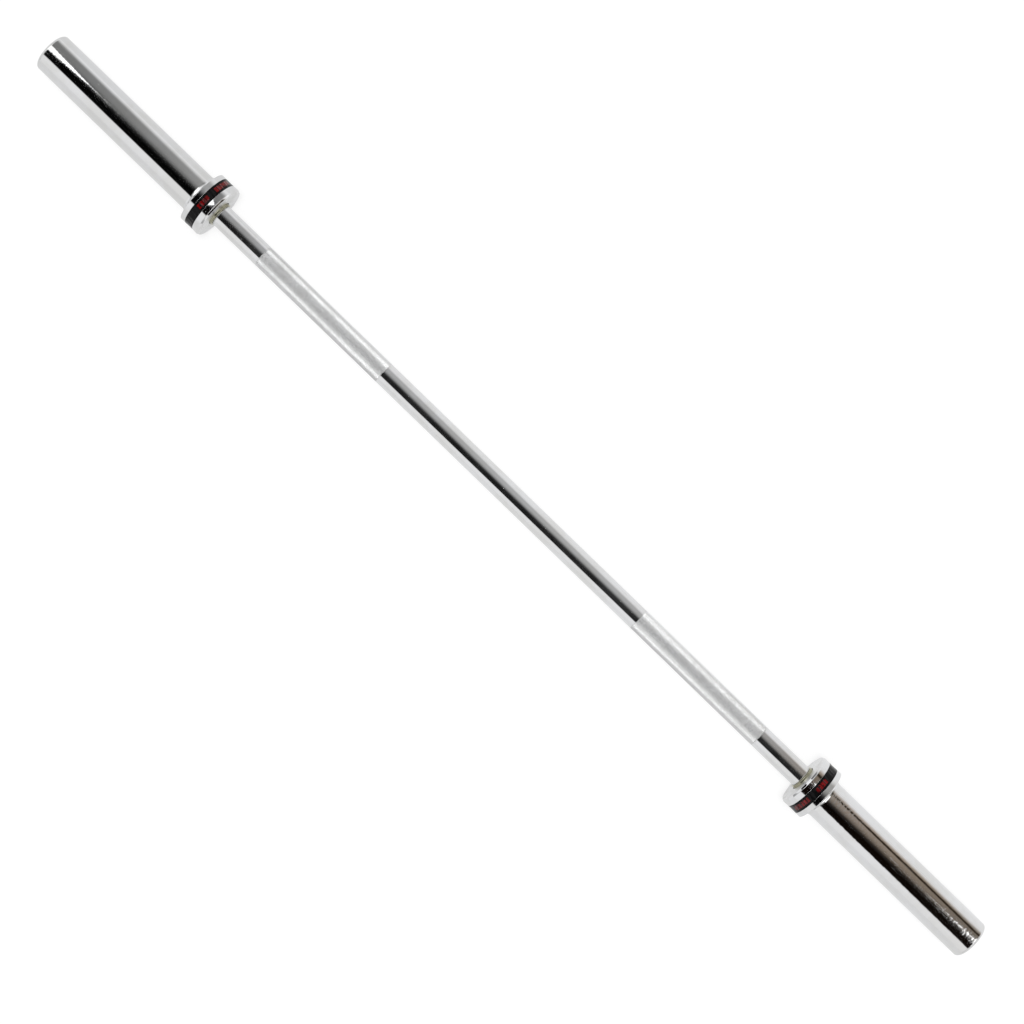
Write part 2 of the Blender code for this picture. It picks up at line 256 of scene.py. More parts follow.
def ramp_stops(tones, low, high):
    """A list of (value, tone) as ramp positions and colours."""
    places = [(value - low) / (high - low) for value, tone in tones]
    colours = [tone if isinstance(tone, tuple) else grey(tone) for value, tone in tones]
    return list(zip(places, colours))


# %% Paint the room on the world
RAIL_TURN = 52.0
RAIL_COLOUR = (0.030, 0.022, 0.014, 1)
BROWN_TRACE = (0.0038, 0.0014, 0.0003, 1)
room = bpy.data.worlds.new("studio_room")
room.use_nodes = True
bpy.context.scene.world = room
work_on(room.node_tree)
direction = add_node("ShaderNodeTexCoord").outputs["Generated"]
toward_end, toward_side, upward = split(direction)
turn_angle = maths("ARCTAN2", toward_side, upward)
turn = times(turn_angle, DEGREES_PER_RADIAN)
slant = maths("ABSOLUTE", toward_end)

turn_position = maths("MULTIPLY_ADD", turn, 1 / 360, 0.5)
overhead = tone_ramp(turn_position, ramp_stops(TONES_ROUND_THE_BAR, -180, 180))
slant_position = maths("ADD", toward_end, 0.5)
along_tone = tone_ramp(slant_position, ramp_stops(GREY_ALONG_THE_BAR, -0.5, 0.5))
strip_start = ramp_between(turn, -6, 4)
strip_end = ramp_between(turn, 60, 84, 1.0, 0.0)
in_grey_strip = times(strip_start, strip_end)
strip_tone = blend_colours(in_grey_strip, (1, 1, 1, 1), along_tone)
overhead_room = blend_colours(1.0, overhead, strip_tone, "MULTIPLY")

# A thin dark rail runs along the grey strip's edge, over the right-hand sleeve only.
over_right_sleeve = ramp_between(toward_end, 0.19, 0.215)
from_rail = maths("ABSOLUTE", minus(turn, RAIL_TURN))
rail_across = ramp_between(from_rail, 2.5, 9.0, 1.0, 0.0)
rail = times(rail_across, over_right_sleeve)
overhead_room = blend_colours(rail, overhead_room, RAIL_COLOUR)
# The dark strip has a trace of brown there.
overhead_room = blend_colours(over_right_sleeve, overhead_room, BROWN_TRACE, "ADD")

# The lit openings are much brighter than the walls, as lamps are. They start as points and widen
# towards each end of the bar. Their edges are ragged, the right one's more than the left one's.
OPENING_BLUR = 1.0
WIDEST_AT = 0.31
ragged_place = in_order(add_node("ShaderNodeCombineXYZ"), times(toward_end, 500.0),
                        times(turn, 0.15))
ragged = minus(noise(ragged_place, 1.0, 3.0), 0.5)


def lit_opening(slant, tip_slant, tip_turn, spread_below, spread_above, raggedness):
    """Where one opening is: 1 inside, 0 outside. Its two edges drift apart with the slant."""
    below = maths("MULTIPLY_ADD", slant, -spread_below, tip_turn + spread_below * tip_slant)
    above = maths("MULTIPLY_ADD", slant, spread_above, tip_turn - spread_above * tip_slant)
    past_below = minus(turn, below)
    short_of_above = minus(above, turn)
    inside = maths("MINIMUM", past_below, short_of_above)
    inside = maths("MULTIPLY_ADD", ragged, raggedness, inside)
    return ramp_between(inside, -OPENING_BLUR, OPENING_BLUR)


leftward = maths("MINIMUM", times(toward_end, -1.0), WIDEST_AT)
rightward = maths("MINIMUM", toward_end, WIDEST_AT)
left_opening = lit_opening(leftward, tip_slant=0.2783, tip_turn=10.5, spread_below=590.0,
                           spread_above=450.0, raggedness=9.0)
right_opening = lit_opening(rightward, tip_slant=0.2940, tip_turn=15.5, spread_below=1500.0,
                            spread_above=1100.0, raggedness=20.0)
opening = maths("MAXIMUM", left_opening, right_opening)
# The openings end where the room's end walls begin. Only the right-hand collar's bevel catches a
# little of one again.
near_strips = ramp_between(slant, 0.330, 0.350, 1.0, 0.0)
for_bevel = ramp_between(toward_end, -0.66, -0.60, 0.55, 0.0)
opening = times(opening, maths("MAXIMUM", near_strips, for_bevel))
overhead_room = blend_colours(opening, overhead_room, (*grey(OPENING_TONE), 1))
# Before the right one begins, separate small sparks announce it.
sparks = lit_opening(rightward, tip_slant=0.3400, tip_turn=15.5, spread_below=120.0,
                     spread_above=120.0, raggedness=90.0)
past_first_spark = ramp_between(rightward, 0.250, 0.262)
before_the_end = ramp_between(slant, 0.300, 0.312, 1.0, 0.0)
sparks = times(sparks, times(past_first_spark, before_the_end))
overhead_room = blend_colours(sparks, overhead_room, (*grey(SPARK_TONE), 1))

over_left_knurl = tone_ramp(turn_position, ramp_stops(TONES_OVER_LEFT_KNURL, -180, 180))
over_right_knurl = tone_ramp(turn_position, ramp_stops(TONES_OVER_RIGHT_KNURL, -180, 180))
# A diamond shows the far end of the room with its inner faces and the near end with its outer ones.
inner_side = times(toward_end, minus(0.5, slant))
for_left = maths("GREATER_THAN", inner_side, 0.0)
at_the_ends = blend_colours(for_left, over_right_knurl, over_left_knurl)
into_ends = ramp_between(slant, 0.32, 0.38)
out_of_ends = ramp_between(slant, 0.61, 0.65, 1.0, 0.0)
end_share = times(into_ends, out_of_ends)
mirrored_room = blend_colours(end_share, overhead_room, at_the_ends)
# Past the strips' own ends the room is plain white wall.
past_the_strips = ramp_between(slant, 0.80, 0.88)
mirrored_room = blend_colours(past_the_strips, mirrored_room, (*grey(WHITE_WALL), 1))
print("room tones:", len(TONES_ROUND_THE_BAR), "round the bar,",
      len(TONES_OVER_LEFT_KNURL) + len(TONES_OVER_RIGHT_KNURL), "at its ends")

# %% Say which rays see the room
light_path = add_node("ShaderNodeLightPath")
seen_by_camera = light_path.outputs["Is Camera Ray"]
seen_in_mirror = maths("MAXIMUM", light_path.outputs["Is Glossy Ray"],
                       light_path.outputs["Is Transmission Ray"])
plain_or_mirrored = blend_colours(seen_in_mirror, (*grey(PLAIN_LIGHT), 1), mirrored_room)
room_colour = blend_colours(seen_by_camera, plain_or_mirrored, (1, 1, 1, 1))
by_name(room.node_tree.nodes["Background"], Color=room_colour, Strength=1.0)

# %% [markdown]
# ## Light and floor
#
# One wide soft lamp hangs over the bar, so that its shadow lies right under it. The floor is a pale
# matt sheet. Part of what the camera sees of it is its own glow, which keeps it white without more
# light on the bar. The other part is lit as usual, which keeps the soft shadow.

# %% Hang the lamp and lay the floor
LAMP_SHARE = 0.30
FLOOR_GLOW = 1.10
FLOOR_GLOW_MIRRORED = 0.87
PALER_NEAR_SIDE = 0.11
PALER_NEAR_RIGHT_SLEEVE = 0.05
PALER_FAR_SIDE = 0.18
FLOOR_LIT_SHARE = 0.35
FLOOR_SIZE = 160.0
floor_height = cad_box[0].z - 0.05 * MM

bpy.ops.object.light_add(type="SUN", location=(0, 0, 3))
lamp = bpy.context.object
lamp.name = "soft_lamp_overhead"
lamp.data.energy = LAMP_SHARE * pi
lamp.data.angle = radians(16)
lamp.visible_glossy = False

bpy.ops.mesh.primitive_plane_add(size=FLOOR_SIZE, location=(0, 0, floor_height))
floor = bpy.context.object
floor.name = "floor_sheet"
floor_finish = bpy.data.materials.new("pale_floor")
floor_finish.use_nodes = True
work_on(floor_finish.node_tree)
floor_nodes = floor_finish.node_tree.nodes
floor_nodes.remove(floor_nodes["Principled BSDF"])
lit_paper = add_node("ShaderNodeBsdfDiffuse")
lit_paper.inputs["Color"].default_value = (0.92, 0.92, 0.92, 1)
glow = add_node("ShaderNodeEmission")
see_path = add_node("ShaderNodeLightPath")
# What the chrome mirrors of the sheet is paler from the left knurl on to the right, mostly on the
# far side of the bar. This is painted light: the sheet glows more there, and only mirrored rays
# see that glow.
sheet_place = add_node("ShaderNodeTexCoord").outputs["Object"]
sheet_along, sheet_across = split(sheet_place)[:2]
past_left_sleeve = ramp_between(sheet_along, -0.58, -0.10)
paler_near = ramp_between(sheet_along, 0.40, 0.48, PALER_NEAR_SIDE, PALER_NEAR_RIGHT_SLEEVE)
paler = ramp_between(sheet_across, -0.02, 0.02, paler_near, PALER_FAR_SIDE)
mirrored_glow = maths("MULTIPLY_ADD", past_left_sleeve, paler, FLOOR_GLOW_MIRRORED)
extra_for_camera = minus(FLOOR_GLOW, mirrored_glow)
glow_seen = maths("MULTIPLY_ADD", see_path.outputs["Is Camera Ray"], extra_for_camera,
                  mirrored_glow)
feed(glow.inputs["Strength"], glow_seen)
seen = maths("MAXIMUM", see_path.outputs["Is Camera Ray"],
             maths("MAXIMUM", see_path.outputs["Is Glossy Ray"],
                   see_path.outputs["Is Transmission Ray"]))
glow_share = times(seen, 1 - FLOOR_LIT_SHARE)
floor_mix = in_order(add_node("ShaderNodeMixShader"), glow_share, lit_paper.outputs[0],
                     glow.outputs[0])
# From below the sheet is clear, so that the bar can be looked at from underneath.
facing = add_node("ShaderNodeNewGeometry").outputs["Backfacing"]
clear_sheet = add_node("ShaderNodeBsdfTransparent")
seen_from_below = times(facing, see_path.outputs["Is Camera Ray"])
clear_below = in_order(add_node("ShaderNodeMixShader"), seen_from_below, floor_mix,
                       clear_sheet.outputs[0])
feed(floor_nodes["Material Output"].inputs["Surface"], clear_below)
floor.data.materials.append(floor_finish)
bpy.context.scene.view_settings.view_transform = "Standard"
print("floor at", round(floor_height / MM, 2), "mm below the axis")

# %% [markdown]
# ## Effects that several finishes share
#
# Handled metal is never even. Hands leave soft **smudges**, the lathe leaves **turning lines**,
# plates leave lengthwise **scratches**, and knocks leave **nicks**. Polishing leaves long **waves**
# and plating an **orange peel**. Moulded and phosphated surfaces have a **fine grain**. Each is a
# node group that gives a mask or a height. All read the piece's own coordinates, in metres, so they
# stay put when a sleeve turns.

# %% A helper that starts a node group
def start_group(name, inputs, outputs):
    """A shader node group with these sockets."""
    group = bpy.data.node_groups.new(name, "ShaderNodeTree")
    for label, kind, value in inputs:
        socket = group.interface.new_socket(label, in_out="INPUT", socket_type=kind)
        if value is not None:
            socket.default_value = value
    for label in outputs:
        group.interface.new_socket(label, in_out="OUTPUT", socket_type="NodeSocketFloat")
    work_on(group)
    entry = group.nodes.new("NodeGroupInput")
    leave = group.nodes.new("NodeGroupOutput")
    return group, entry.outputs, leave.inputs


PLACE = ("Place", "NodeSocketVector", None)


def number(label, value):
    """A number socket with its usual value."""
    return (label, "NodeSocketFloat", value)


# %% Smudges: two sizes of soft cloud
smudges, given, result = start_group("smudges", [PLACE, number("Size", 22.0)], ["Mask"])
wide = noise(given["Place"], given["Size"], 3.0)
fine = noise(given["Place"], times(given["Size"], 6.0), 4.0)
both = maths("MULTIPLY_ADD", fine, 0.35, times(wide, 0.65))
feed(result["Mask"], ramp_between(both, 0.40, 0.62))

# %% Turning lines: rings that depend on one distance only
turning_lines, given, result = start_group(
    "turning_lines", [number("Distance", 0.0), number("Lines Per Metre", 4000.0)], ["Height"])
line_place = times(given["Distance"], given["Lines Per Metre"])
line_noise = add_node("ShaderNodeTexNoise", noise_dimensions="1D")
feed(result["Height"], by_name(line_noise, W=line_place, Scale=1.0, Detail=3.0)[0])

# %% Sliding scratches: long thin streaks along the bar, in patches
sliding_scratches, given, result = start_group(
    "sliding_scratches", [PLACE, number("Amount", 0.5)], ["Mask"])
streak_place = stretched(given["Place"], (14.0, 900.0, 900.0))
streaks = noise(streak_place, 1.0, 1.0)
thin = ramp_between(streaks, 0.64, 0.74)
patch = ramp_between(noise(given["Place"], 30.0), 0.45, 0.65)
scratch_mask = times(thin, patch)
feed(result["Mask"], times(scratch_mask, given["Amount"]))

# %% Nicks: a few small round dents, picked at random
nicks, given, result = start_group(
    "nicks", [PLACE, number("Per Metre", 170.0), number("Radius", 0.10), number("Share", 0.3)],
    ["Height"])
dents = add_node("ShaderNodeTexVoronoi", voronoi_dimensions="3D", feature="F1")
wobble = noise(given["Place"], 900.0)
by_name(dents, Vector=given["Place"], Scale=given["Per Metre"])
picked = split(dents.outputs["Color"])[0]
is_picked = maths("LESS_THAN", picked, given["Share"])
ragged = maths("MULTIPLY_ADD", wobble, 0.06, dents.outputs["Distance"])
rim = maths("ADD", given["Radius"], 0.03)
depth = ramp_between(ragged, minus(rim, given["Radius"]), rim, -1.0, 0.0)
feed(result["Height"], times(depth, is_picked))

# %% Uneven polish: long soft waves and a smaller orange peel, both in the height's own unit
uneven_polish, given, result = start_group(
    "uneven_polish", [PLACE, number("Waves", 0.006), number("Peel", 0.004)], ["Height"])
wave_place = stretched(given["Place"], (60.0, 130.0, 130.0))
wave = times(noise(wave_place, 1.0), given["Waves"])
peel = noise(given["Place"], 340.0, 1.0)
feed(result["Height"], maths("MULTIPLY_ADD", peel, given["Peel"], wave))

# %% Fine grain: a small even roughness
fine_grain, given, result = start_group(
    "fine_grain", [PLACE, number("Per Metre", 2600.0)], ["Height"])
feed(result["Height"], noise(given["Place"], given["Per Metre"], 2.5))

# %% Radius: how far a point is from the bar's axis
axis_radius, given, result = start_group("axis_radius", [PLACE], ["Radius", "Along"])
x, y, z = split(given["Place"])
across = maths("MULTIPLY_ADD", y, y, times(z, z))
feed(result["Radius"], maths("SQRT", across))
feed(result["Along"], x)
print("shared effects:", sorted(group.name for group in bpy.data.node_groups))


# %% Helpers that start and finish a material
def place_group(group, **values):
    """Put a node group in the tree in use."""
    return by_name(add_node("ShaderNodeGroup", node_tree=group), **values)


def start_finish(name, view_colour):
    """A new material, its shader and the piece's own coordinates."""
    finish = bpy.data.materials.new(name)
    finish.use_nodes = True
    finish.diffuse_color = (*view_colour, 1)
    work_on(finish.node_tree)
    own_place = add_node("ShaderNodeTexCoord").outputs["Object"]
    return finish, finish.node_tree.nodes["Principled BSDF"], own_place


def sum_of(base, *weighted):
    """The base value plus each mask times its weight."""
    total = base
    for mask, weight in weighted:
        total = maths("MULTIPLY_ADD", mask, weight, total)
    return total


def bump_from(shader, height_in_mm):
    """Turn a height in millimetres into the shader's normal."""
    made = by_name(add_node("ShaderNodeBump"), Strength=1.0, Distance=MM, Height=height_in_mm)
    feed(shader.inputs["Normal"], made[0])


# %% [markdown]
# ## Polished chrome
#
# Chrome plate mirrors about 70 % of the light, a little less where it is smudged. Its uneven polish
# makes straight reflections tremble. Far out on the bar a tilt of half a degree already brings the
# lit opening into view, so on the right-hand sleeve, which has more orange peel, the opening's tip
# breaks into sparks. The sleeves and collars share one recipe with different amounts.

# %% Make the polished chromes
CLEAN_CHROME = (0.705, 0.71, 0.72, 1)
SMUDGED_CHROME = (0.665, 0.665, 0.66, 1)


def chrome(name, roughness, waves, peel, scratches, nick_depth, smudge_size):
    """Polished chrome: how rough, how uneven in mm, how scratched, how deep its nicks in mm."""
    finish, shader, own_place = start_finish(name, CLEAN_CHROME[:3])
    smudge = place_group(smudges, Place=own_place, Size=smudge_size)["Mask"]
    scratch = place_group(sliding_scratches, Place=own_place, Amount=scratches)["Mask"]
    nick = place_group(nicks, Place=own_place)["Height"]
    along = place_group(axis_radius, Place=own_place)["Along"]
    line = place_group(turning_lines, Distance=along)["Height"]
    colour = blend_colours(smudge, CLEAN_CHROME, SMUDGED_CHROME)
    uneven_roughness = sum_of(roughness, (smudge, 0.03), (scratch, 0.16), (line, 0.01))
    by_name(shader, Base_Color=colour, Metallic=1.0, Roughness=uneven_roughness)
    uneven = place_group(uneven_polish, Place=own_place, Waves=waves, Peel=peel)["Height"]
    height = sum_of(uneven, (line, 0.00025), (nick, nick_depth), (scratch, -0.0012))
    bump_from(shader, height)
    return finish


slid_on = {"waves": 0.008, "scratches": 0.9, "nick_depth": 0.07, "smudge_size": 18.0}
left_sleeve_chrome = chrome("sleeve_chrome_left", roughness=0.030, peel=0.009, **slid_on)
right_sleeve_chrome = chrome("sleeve_chrome_right", roughness=0.025, peel=0.050, **slid_on)
collar_chrome = chrome("collar_chrome", roughness=0.04, waves=0.005, peel=0.002, scratches=0.5,
                       nick_depth=0.04, smudge_size=40.0)

# %% [markdown]
# ## The shaft's chrome
#
# The shaft is the same chrome, but its knurled grips collect grime between the diamonds, and hands
# polish their crests. Both follow from how far a point is from the bar's axis. A thin film of dust
# greys the dark reflections in places: the metallic value dips there, which lets a little plain
# diffuse light in.

# %% Make the shaft's chrome
shaft_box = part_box("shaft")
CAD_SIDES = 36
flat_to_round = 1 / cos(pi / CAD_SIDES)
knurl_radius_in_cad = shaft_box[1].z * flat_to_round
KNURL_HEIGHT_IN_CAD = 0.15 * MM
SHAFT_RADIUS = knurl_radius_in_cad - KNURL_HEIGHT_IN_CAD
KNURL_CREST = SHAFT_RADIUS + 0.06 * MM
KNURL_VALLEY = KNURL_CREST - 0.43 * MM
KNURL_FROM = 207 * MM
KNURL_TO = 404 * MM
KNURL_GRIME = (0.55, 0.545, 0.535, 1)
KNURL_CLEAN = (0.76, 0.765, 0.77, 1)

shaft_chrome, shader, own_place = start_finish("shaft_chrome", CLEAN_CHROME[:3])
smudge = place_group(smudges, Place=own_place, Size=26.0)["Mask"]
scratch = place_group(sliding_scratches, Place=own_place, Amount=0.35)["Mask"]
nick = place_group(nicks, Place=own_place, Share=0.15)["Height"]
measured = place_group(axis_radius, Place=own_place)
line = place_group(turning_lines, Distance=measured["Along"])["Height"]
distance_along = maths("ABSOLUTE", measured["Along"])
after_start = maths("GREATER_THAN", distance_along, KNURL_FROM)
before_end = maths("LESS_THAN", distance_along, KNURL_TO)
on_knurl = times(after_start, before_end)
in_valley = ramp_between(measured["Radius"], KNURL_VALLEY - 0.03 * MM,
                         KNURL_VALLEY + 0.16 * MM, 1.0, 0.0)
grime_noise = noise(own_place, 60.0, 5.0)
grime_patches = ramp_between(grime_noise, 0.35, 0.65, 0.25, 0.85)
grime = times(in_valley, grime_patches)
plain_colour = blend_colours(smudge, CLEAN_CHROME, SMUDGED_CHROME)
knurl_colour = blend_colours(grime, KNURL_CLEAN, KNURL_GRIME)
feed(shader.inputs["Base Color"], blend_colours(on_knurl, plain_colour, knurl_colour))
dust = place_group(smudges, Place=own_place, Size=9.0)["Mask"]
feed(shader.inputs["Metallic"], sum_of(0.988, (dust, -0.022)))
plain_roughness = sum_of(0.05, (smudge, 0.04), (scratch, 0.2), (line, 0.01))
knurl_roughness = sum_of(0.20, (grime, 0.15), (smudge, 0.03))
roughness_mix = add_node("ShaderNodeMix", data_type="FLOAT")
feed(roughness_mix.inputs[0], on_knurl)
feed(roughness_mix.inputs[2], plain_roughness)
feed(roughness_mix.inputs[3], knurl_roughness)
feed(shader.inputs["Roughness"], roughness_mix.outputs[0])
uneven = place_group(uneven_polish, Place=own_place, Waves=0.006, Peel=0.003)["Height"]
bump_from(shader, sum_of(uneven, (line, 0.00025), (nick, 0.05)))
print("shaft radius", round(SHAFT_RADIUS / MM, 3), "mm")

# %% [markdown]
# ## Satin chrome
#
# The collar's inner face and the end cap are plated over a turned surface that nobody polished, so
# they are satin, with rings about the axis. The rings depend on the radius instead of the place
# along the bar, which is the only change to the recipe.

# %% Make the satin chromes
def satin_chrome(name, colour, dull_colour, roughness, ring_height):
    """Chrome over a turned face: rings about the axis, in mm high."""
    finish, shader, own_place = start_finish(name, colour[:3])
    radius = place_group(axis_radius, Place=own_place)["Radius"]
    ring = place_group(turning_lines, Distance=radius, Lines_Per_Metre=3500.0)["Height"]
    smudge = place_group(smudges, Place=own_place, Size=70.0)["Mask"]
    nick = place_group(nicks, Place=own_place, Per_Metre=260.0)["Height"]
    by_name(shader, Base_Color=blend_colours(smudge, colour, dull_colour), Metallic=1.0,
            Roughness=sum_of(roughness, (smudge, 0.08), (ring, 0.08)))
    bump_from(shader, sum_of(0.0, (ring, ring_height), (nick, 0.04)))
    return finish


collar_satin = satin_chrome("collar_satin_face", (0.72, 0.725, 0.73, 1), (0.64, 0.64, 0.635, 1),
                            0.24, 0.0018)
cap_satin = satin_chrome("cap_satin_chrome", (0.66, 0.665, 0.675, 1), (0.58, 0.58, 0.575, 1),
                         0.26, 0.0030)

# %% [markdown]
# ## The collar's black band
#
# The band is a ring of black, slightly glossy moulded plastic with a red print. The real print is
# lettering, which is left off here: plain glossy red bars with thin slits, long and short in turn,
# take its place. The bars are a mask made from the angle round the bar and the place along it. Dust
# makes the black a little grey, and the mould's fine grain breaks up its shine.

# %% Make a node group for the printed bars
BAND_PERIOD = 180.0
SLIT_PITCH = 7.5
SLIT_HALF = 0.75
ANGLE_BLUR = 0.4
WIDTH_BLUR = 0.1 * MM
BAR_HALF_WIDTH = 2.9 * MM
printed_bars, given, result = start_group(
    "printed_bars",
    [PLACE, number("Long Middle", 0.0), number("Short Middle", 60.0), number("Band Middle", 0.0)],
    ["Mask"])
x, y, z = split(given["Place"])
round_angle = times(maths("ARCTAN2", y, z), DEGREES_PER_RADIAN)
from_band_middle = maths("ABSOLUTE", minus(x, given["Band Middle"]))


def one_bar(middle, half_angle, half_width):
    """A bar that is on the band twice."""
    offset = minus(round_angle, middle)
    near = maths("WRAP", offset, BAND_PERIOD / 2, -BAND_PERIOD / 2)
    apart = maths("ABSOLUTE", near)
    in_angle = ramp_between(apart, half_angle - ANGLE_BLUR, half_angle + ANGLE_BLUR, 1.0, 0.0)
    in_width = ramp_between(from_band_middle, half_width - WIDTH_BLUR, half_width + WIDTH_BLUR,
                            1.0, 0.0)
    slit_place = maths("WRAP", offset, SLIT_PITCH / 2, -SLIT_PITCH / 2)
    from_slit = maths("ABSOLUTE", slit_place)
    beside_slit = ramp_between(from_slit, SLIT_HALF - ANGLE_BLUR, SLIT_HALF + ANGLE_BLUR)
    return times(times(in_angle, in_width), beside_slit)


long_bar = one_bar(given["Long Middle"], 22.5, BAR_HALF_WIDTH)
short_bar = one_bar(given["Short Middle"], 15.0, BAR_HALF_WIDTH)
bars = maths("MAXIMUM", long_bar, short_bar)
worn = ramp_between(noise(given["Place"], 420.0, 6.0), 0.34, 0.50)
feed(result["Mask"], times(bars, worn))


# %% Make the two band finishes
BAND_BLACK = (0.0022, 0.0022, 0.0025, 1)
BAND_DUST = (0.0045, 0.0045, 0.0045, 1)
BAND_RED = (0.20, 0.0004, 0.0007, 1)
BAND_RED_WORN = (0.10, 0.0015, 0.002, 1)
BAND_SHINE = 0.10
PRINT_GLOSS = 0.4


def band_finish(name, long_middle, short_middle, band_middle):
    """Black moulded plastic with red bars whose middles are at these angles."""
    finish, shader, own_place = start_finish(name, BAND_BLACK[:3])
    smudge = place_group(smudges, Place=own_place, Size=60.0)["Mask"]
    bar = place_group(printed_bars, Place=own_place, Long_Middle=long_middle,
                      Short_Middle=short_middle, Band_Middle=band_middle)["Mask"]
    scratch = place_group(sliding_scratches, Place=own_place, Amount=0.5)["Mask"]
    plastic = blend_colours(smudge, BAND_BLACK, BAND_DUST)
    red = blend_colours(smudge, BAND_RED, BAND_RED_WORN)
    by_name(shader, Base_Color=blend_colours(bar, plastic, red), Specular_IOR_Level=BAND_SHINE,
            Roughness=sum_of(0.13, (smudge, 0.08), (scratch, 0.12), (bar, 0.03)),
            Coat_Weight=times(bar, PRINT_GLOSS), Coat_Roughness=0.06)
    grain = place_group(fine_grain, Place=own_place)["Height"]
    bump_from(shader, sum_of(0.0, (grain, 0.0025), (bar, 0.008)))
    return finish


band_middle = sum(corner.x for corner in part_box("right_collar_band")) / 2
band_right_finish = band_finish("band_black_right", -42.5, 15.5, band_middle)
band_left_finish = band_finish("band_black_left", 49.0, -5.75, -band_middle)
print("band middle at", round(band_middle / MM, 2), "mm")

# %% [markdown]
# ## Bronze, spring steel and ground steel
#
# A ring of bronze shows where the shaft enters each collar, and a dark snap ring in the sleeve's
# mouth. The other small pieces are inside, but whoever takes the model apart sees them, so they get
# oil stains, turning lines or a mottled grey as well.

# %% Make a finish for the small hidden metals
def worked_metal(name, bright, stained, roughness, line_height, grain_height, by_radius,
                 stain_size):
    """A metal with stains, grain, and lines from the tool that cut it. Heights are in mm."""
    finish, shader, own_place = start_finish(name, bright[:3])
    measured = place_group(axis_radius, Place=own_place)
    distance = measured["Radius"] if by_radius else measured["Along"]
    line = place_group(turning_lines, Distance=distance, Lines_Per_Metre=6000.0)["Height"]
    stain = place_group(smudges, Place=own_place, Size=stain_size)["Mask"]
    grain = place_group(fine_grain, Place=own_place, Per_Metre=3000.0)["Height"]
    by_name(shader, Base_Color=blend_colours(stain, bright, stained), Metallic=1.0,
            Roughness=sum_of(roughness, (stain, 0.06), (line, 0.06)))
    bump_from(shader, sum_of(0.0, (line, line_height), (grain, grain_height)))
    return finish


bronze = worked_metal("bushing_bronze", (0.47, 0.46, 0.35, 1), (0.38, 0.36, 0.26, 1), 0.05, 0.0001,
                      0.0001, False, 120.0)
spring_steel = worked_metal("spring_steel_phosphated", (0.17, 0.17, 0.175, 1),
                            (0.10, 0.10, 0.105, 1), 0.36, 0.0015, 0.0008, True, 200.0)
ground_steel = worked_metal("washer_ground_steel", (0.50, 0.50, 0.51, 1), (0.40, 0.39, 0.38, 1),
                            0.26, 0.002, 0.0004, True, 150.0)

# %% [markdown]
# ## Turning a piece on the lathe
#
# Every piece of this bar is round, so each is made the way a lathe makes it. A flat rectangle is
# half of the blank's section, beside the axis. Straight cuts divide it, the parts that the tool
# takes away are deleted, and single corners are rounded. Then the outline is spun once round the
# axis. The helpers work on the active piece.

# %% Helpers that pick parts of the piece in edit mode
SAME_PLACE = 0.02 * MM


def enter_edit():
    """Go into edit mode."""
    bpy.ops.object.mode_set(mode="EDIT")


def leave_edit():
    """Go back to object mode."""
    bpy.ops.object.mode_set(mode="OBJECT")


def deselect_all():
    """Leave edit mode and select nothing."""
    if bpy.context.object and bpy.context.object.mode != "OBJECT":
        leave_edit()
    bpy.ops.object.select_all(action="DESELECT")


def work_with(*pieces):
    """Select only these pieces, and make the last one active."""
    deselect_all()
    for piece in pieces:
        piece.select_set(True)
    bpy.context.view_layer.objects.active = pieces[-1]


def pick(kind, wanted):
    """In edit mode, select the vertices, edges or faces that a test accepts."""
    piece = bpy.context.object
    bpy.ops.mesh.select_all(action="DESELECT")
    bpy.ops.mesh.select_mode(type={"vertices": "VERT", "edges": "EDGE", "polygons": "FACE"}[kind])
    leave_edit()
    found = 0
    for part in getattr(piece.data, kind):
        part.select = bool(wanted(part))
        found += part.select
    enter_edit()
    return found


def select_whole():
    """In edit mode, select the whole piece."""
    bpy.ops.mesh.select_all(action="SELECT")


def merge_doubles():
    """In edit mode, make one of any vertices in the same place."""
    select_whole()
    bpy.ops.mesh.remove_doubles(threshold=0.001 * MM)


def corner(x, radius):
    """In edit mode, select the section's corner at this place."""
    found = pick("vertices", lambda v: max(abs(v.co.x - x), abs(v.co.z - radius)) < SAME_PLACE)
    if found != 1:
        raise ValueError(f"{found} corners at {x / MM:.3f}, {radius / MM:.3f}")


# %% Helpers that shape half of a section
def start_blank(name, x_low, x_high, r_low, r_high):
    """Add the rectangle that a piece is turned from, and go into edit mode."""
    deselect_all()
    middle = ((x_low + x_high) / 2, 0, (r_low + r_high) / 2)
    bpy.ops.mesh.primitive_plane_add(size=1, location=middle, rotation=(pi / 2, 0, 0))
    piece = bpy.context.object
    piece.name = name
    piece.data.name = name
    piece.scale = (x_high - x_low, r_high - r_low, 1)
    bpy.ops.object.transform_apply(location=True, rotation=True, scale=True)
    enter_edit()
    return piece


def saw(place, normal, away=False):
    """Cut the whole section along a line, and drop what lies beyond it if asked."""
    select_whole()
    bpy.ops.mesh.bisect(plane_co=place, plane_no=normal, clear_outer=away)


def take_away(x_low, x_high, r_low, r_high):
    """Cut a rectangle out of the section."""
    for x in (x_low, x_high):
        saw((x, 0, 0), (1, 0, 0))
    for radius in (r_low, r_high):
        saw((0, 0, radius), (0, 0, 1))
    pick("polygons", lambda f: x_low < f.center.x < x_high and r_low < f.center.z < r_high)
    bpy.ops.mesh.delete(type="FACE")


def tidy_section():
    """Join what is left into one face with corners only where it turns."""
    merge_doubles()
    bpy.ops.mesh.dissolve_limited(angle_limit=radians(0.5))


def round_corner(x, radius, size, steps=3, fullness=0.5):
    """Round one corner of the section, inside or outside. A lower fullness is nearer a flat cut."""
    corner(x, radius)
    bpy.ops.mesh.bevel(offset=size, segments=steps, profile=fullness, affect="VERTICES")


def move_corner(x, radius, outwards):
    """Move one corner of the section away from the axis, or towards it."""
    corner(x, radius)
    bpy.ops.transform.translate(value=(0, 0, outwards))


